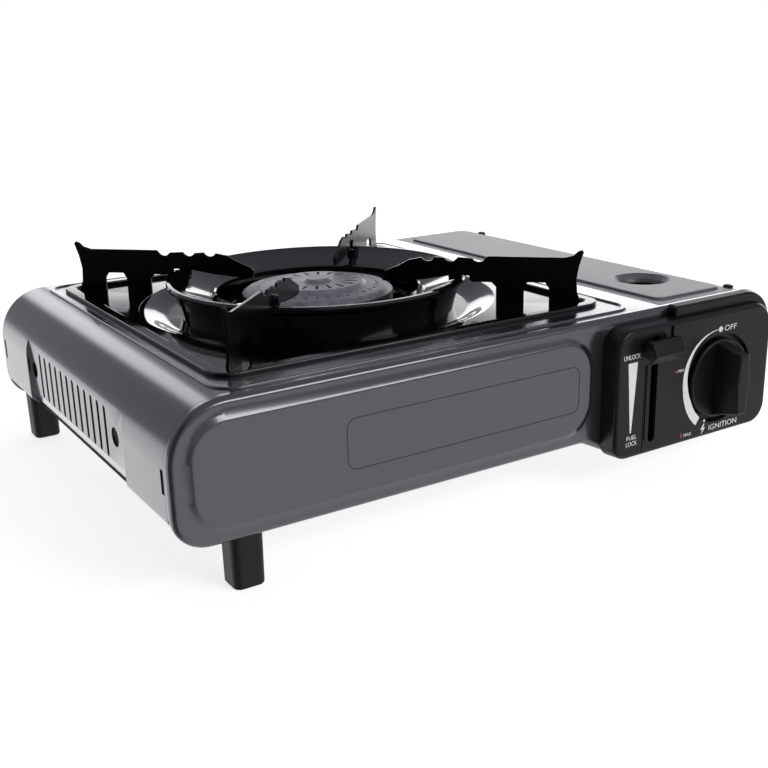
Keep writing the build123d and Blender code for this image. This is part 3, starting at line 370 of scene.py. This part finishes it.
def sweep_arc():
    """Outer and inner edge of the tapered arc round the knob."""
    outer, inner = [], []
    for i in range(SWEEP_STEPS + 1):
        share = i / SWEEP_STEPS
        turn = math.radians(SWEEP_START + (SWEEP_END - SWEEP_START) * share)
        width = HAIRLINE + BROAD * min(1.0, share * TAPER_RATE) ** TAPER_POWER
        bulge = SWEEP_BULGE * math.sin(math.pi * min(1.0, share * BULGE_RATE))
        far = SWEEP_RADIUS + bulge + SWEEP_FLARE * max(0.0, share - FLARE_FROM)
        for edge, radius in ((outer, far), (inner, far - width)):
            edge.append((KNOB_X + radius * math.cos(turn), KNOB_Z + radius * math.sin(turn)))
    return outer, inner


def add_sweep():
    bm = bmesh.new()
    outer, inner = [top_ring(bm, edge) for edge in sweep_arc()]
    for i in range(SWEEP_STEPS):
        bm.faces.new((outer[i], outer[i + 1], inner[i + 1], inner[i]))
    grown = bmesh.ops.extrude_face_region(bm, geom=list(bm.faces))
    for element in grown["geom"]:
        if isinstance(element, bmesh.types.BMVert):
            element.co.z = 0
    printed("print_sweep", finish_mesh(bm, "print_sweep"), FACE_Y, INK_WHITE)


def rounded_box(x0, x1, z0, z1, radius, steps=8):
    points = []
    corners = ((x1 - radius, z1 - radius, 0), (x0 + radius, z1 - radius, 90),
               (x0 + radius, z0 + radius, 180), (x1 - radius, z0 + radius, 270))
    for cx, cz, start in corners:
        for i in range(steps + 1):
            t = math.radians(start + 90 * i / steps)
            points.append((cx + radius * math.cos(t), cz + radius * math.sin(t)))
    return points


LABEL_X, LABEL_Z = (-93.0, 36.0), (42.6, 66.0)
LABEL_RADIUS = 5.0
LABEL_LINE = 0.45


def label_edge(inset):
    (x0, x1), (z0, z1) = LABEL_X, LABEL_Z
    return rounded_box(x0 + inset, x1 - inset, z0 + inset, z1 - inset, LABEL_RADIUS - inset)


add_sweep()
ink_shape("print_label_frame", label_edge(0.0), FIELD_Y, INK_GREY, label_edge(LABEL_LINE))


# ---- Studio -------------------------------------------------------------------------------
CAMERA_AT = Vector((-0.30265, -0.48015, 0.21503))
CAMERA_AZIMUTH = math.radians(-32.044)
CAMERA_ELEVATION = math.radians(17.670)
CAMERA_ROLL = math.radians(-1.4315)
CAMERA_LENS = 50.496

KEY_AT = Vector((0.50, -1.30, 0.88))
KEY_TARGET = Vector((-0.1, -0.1, 0.07))
KEY_SIZE = (0.8, 0.45)
KEY_POWER = 4.5

FLOOR_HALF = 6.0
FLOOR_GLOW = 0.75
FIBRE_SCALE = 40.0

# The world's colours, by direction
CEILING = (0.27, 0.275, 0.31)
FRONT = (0.60, 0.60, 0.62)
SCREEN = (0.05, 0.05, 0.06)
LEFT = (1.1, 1.1, 1.12)
RIGHT = (2.8, 2.8, 2.82)
STRIP = (1.65, 1.65, 1.7)

# Where they fade in along a direction's x, y or z: nothing at the first value, all at the second
BEHIND_Y = (-0.15, 0.35)
FRONT_X, FRONT_Z = (-0.6, 0.1), (0.15, -0.15)
SCREEN_X, SCREEN_Y = (-0.3, -0.6), (0.2, -0.1)
LEFT_FOOT_Z, LEFT_TOP_Z = (-0.75, -0.5), (0.06, -0.12)
RIGHT_FOOT_Z, RIGHT_TOP_Z = (-0.25, -0.05), (0.200, 0.165)
RIGHT_TOP_TILT = 0.09       # the right side's top edge rises by this for each unit of x
LEFT_TO_RIGHT_X = (0.02, 0.28)
STRIP_X_EDGES = ((-0.10, 0.02), (0.24, 0.14))
STRIP_Z_EDGES = ((0.62, 0.5), (0.18, 0.30))


def add_object(name, data):
    obj = bpy.data.objects.new(name, data)
    bpy.context.scene.collection.objects.link(obj)
    return obj


def add_camera():
    a, e, r = CAMERA_AZIMUTH, CAMERA_ELEVATION, CAMERA_ROLL
    back = Vector((math.sin(a) * math.cos(e), -math.cos(a) * math.cos(e), math.sin(e)))
    right = (-back).cross(Vector((0, 0, 1))).normalized()
    up = right.cross(-back)
    across = right * math.cos(r) + up * math.sin(r)
    upward = -right * math.sin(r) + up * math.cos(r)
    turn = Matrix((across, upward, back)).transposed().to_4x4()
    data = bpy.data.cameras.new("camera")
    data.lens = CAMERA_LENS
    camera = add_object("camera", data)
    camera.matrix_world = Matrix.Translation(CAMERA_AT) @ turn
    bpy.context.scene.camera = camera


def add_key_light():
    data = bpy.data.lights.new("key", "AREA")
    data.shape = "RECTANGLE"
    data.size, data.size_y = KEY_SIZE
    data.energy = KEY_POWER
    light = add_object("key", data)
    light.location = KEY_AT
    light.rotation_euler = (KEY_TARGET - KEY_AT).to_track_quat("-Z", "Y").to_euler()


def add_floor():
    """Plain pale paper floor. It lights the object but stays out of its gloss."""
    mesh = bpy.data.meshes.new("floor")
    bm = bmesh.new()
    bmesh.ops.create_grid(bm, x_segments=2, y_segments=2, size=FLOOR_HALF)
    bm.to_mesh(mesh)
    bm.free()
    floor = add_object("floor", mesh)
    floor.visible_glossy = False
    material, tree, shader = new_material("floor_paper")
    fibre = noise(tree, coordinates(tree), FIBRE_SCALE, detail=3.0)
    link_sockets(tree, shader, Base_Color=ramp(tree, fibre, (0.90, 0.90, 0.90), (0.93, 0.93, 0.93)))
    set_sockets(shader, Roughness=0.9, Emission_Color=(1, 1, 1, 1), Emission_Strength=FLOOR_GLOW)
    mesh.materials.append(material)


def fade(tree, value, edge):
    """0 before the edge's first value, 1 after its second; the first may be the larger."""
    start, end = edge
    node = tree.nodes.new("ShaderNodeMapRange")
    node.interpolation_type = "SMOOTHSTEP"
    node.inputs["From Min"].default_value = min(edge)
    node.inputs["From Max"].default_value = max(edge)
    node.inputs["To Min"].default_value = 0.0 if start < end else 1.0
    node.inputs["To Max"].default_value = 1.0 if start < end else 0.0
    tree.links.new(value, node.inputs["Value"])
    return node.outputs["Result"]


def product(tree, first, *others):
    for other in others:
        node = tree.nodes.new("ShaderNodeMath")
        node.operation = "MULTIPLY"
        tree.links.new(first, node.inputs[0])
        tree.links.new(other, node.inputs[1])
        first = node.outputs["Value"]
    return first


def sloped(tree, z, x, slope):
    """z less a slope times x."""
    node = tree.nodes.new("ShaderNodeMath")
    node.operation = "MULTIPLY_ADD"
    tree.links.new(x, node.inputs[0])
    node.inputs[1].default_value = -slope
    tree.links.new(z, node.inputs[2])
    return node.outputs["Value"]


def blend(tree, share, first, second):
    """Colour that goes from first to second; each is a colour or a socket."""
    node = tree.nodes.new("ShaderNodeMix")
    node.data_type = "RGBA"
    tree.links.new(share, node.inputs["Factor"])
    for key, value in (("A", first), ("B", second)):
        if isinstance(value, tuple):
            node.inputs[key].default_value = (*value, 1)
        else:
            tree.links.new(value, node.inputs[key])
    return node.outputs["Result"]


def studio_colour(tree):
    """Bright sweep behind, brightest on the right, a strip light above it, a dark screen at the left."""
    source = tree.nodes.new("ShaderNodeTexCoord")
    split = tree.nodes.new("ShaderNodeSeparateXYZ")
    tree.links.new(source.outputs["Generated"], split.inputs["Vector"])
    x, y, z = split.outputs["X"], split.outputs["Y"], split.outputs["Z"]
    behind = fade(tree, y, BEHIND_Y)

    front = product(tree, fade(tree, z, FRONT_Z), fade(tree, x, FRONT_X))
    screen = product(tree, fade(tree, x, SCREEN_X), fade(tree, y, SCREEN_Y))
    room = blend(tree, screen, blend(tree, front, CEILING, FRONT), SCREEN)

    left = product(tree, fade(tree, z, LEFT_TOP_Z), fade(tree, z, LEFT_FOOT_Z), behind)
    tilted = sloped(tree, z, x, RIGHT_TOP_TILT)
    right = product(tree, fade(tree, tilted, RIGHT_TOP_Z), fade(tree, z, RIGHT_FOOT_Z), behind)
    sides = blend(tree, fade(tree, x, LEFT_TO_RIGHT_X),
                  blend(tree, left, room, LEFT), blend(tree, right, room, RIGHT))

    edges = [fade(tree, x, edge) for edge in STRIP_X_EDGES]
    edges += [fade(tree, z, edge) for edge in STRIP_Z_EDGES]
    return blend(tree, product(tree, *edges, behind), sides, STRIP)


def add_world():
    """The studio lights the object. The camera itself sees plain white."""
    world = bpy.data.worlds.new("studio")
    world.use_nodes = True
    tree = world.node_tree
    studio = tree.nodes["Background"]
    tree.links.new(studio_colour(tree), studio.inputs["Color"])
    paper = tree.nodes.new("ShaderNodeBackground")
    paper.inputs["Color"].default_value = (1, 1, 1, 1)
    ray = tree.nodes.new("ShaderNodeLightPath")
    seen = tree.nodes.new("ShaderNodeMixShader")
    tree.links.new(ray.outputs["Is Camera Ray"], seen.inputs["Fac"])
    tree.links.new(studio.outputs["Background"], seen.inputs[1])
    tree.links.new(paper.outputs["Background"], seen.inputs[2])
    tree.links.new(seen.outputs["Shader"], tree.nodes["World Output"].inputs["Surface"])
    bpy.context.scene.world = world


add_camera()
add_floor()
add_world()
add_key_light()
bpy.context.scene.view_settings.view_transform = "Standard"
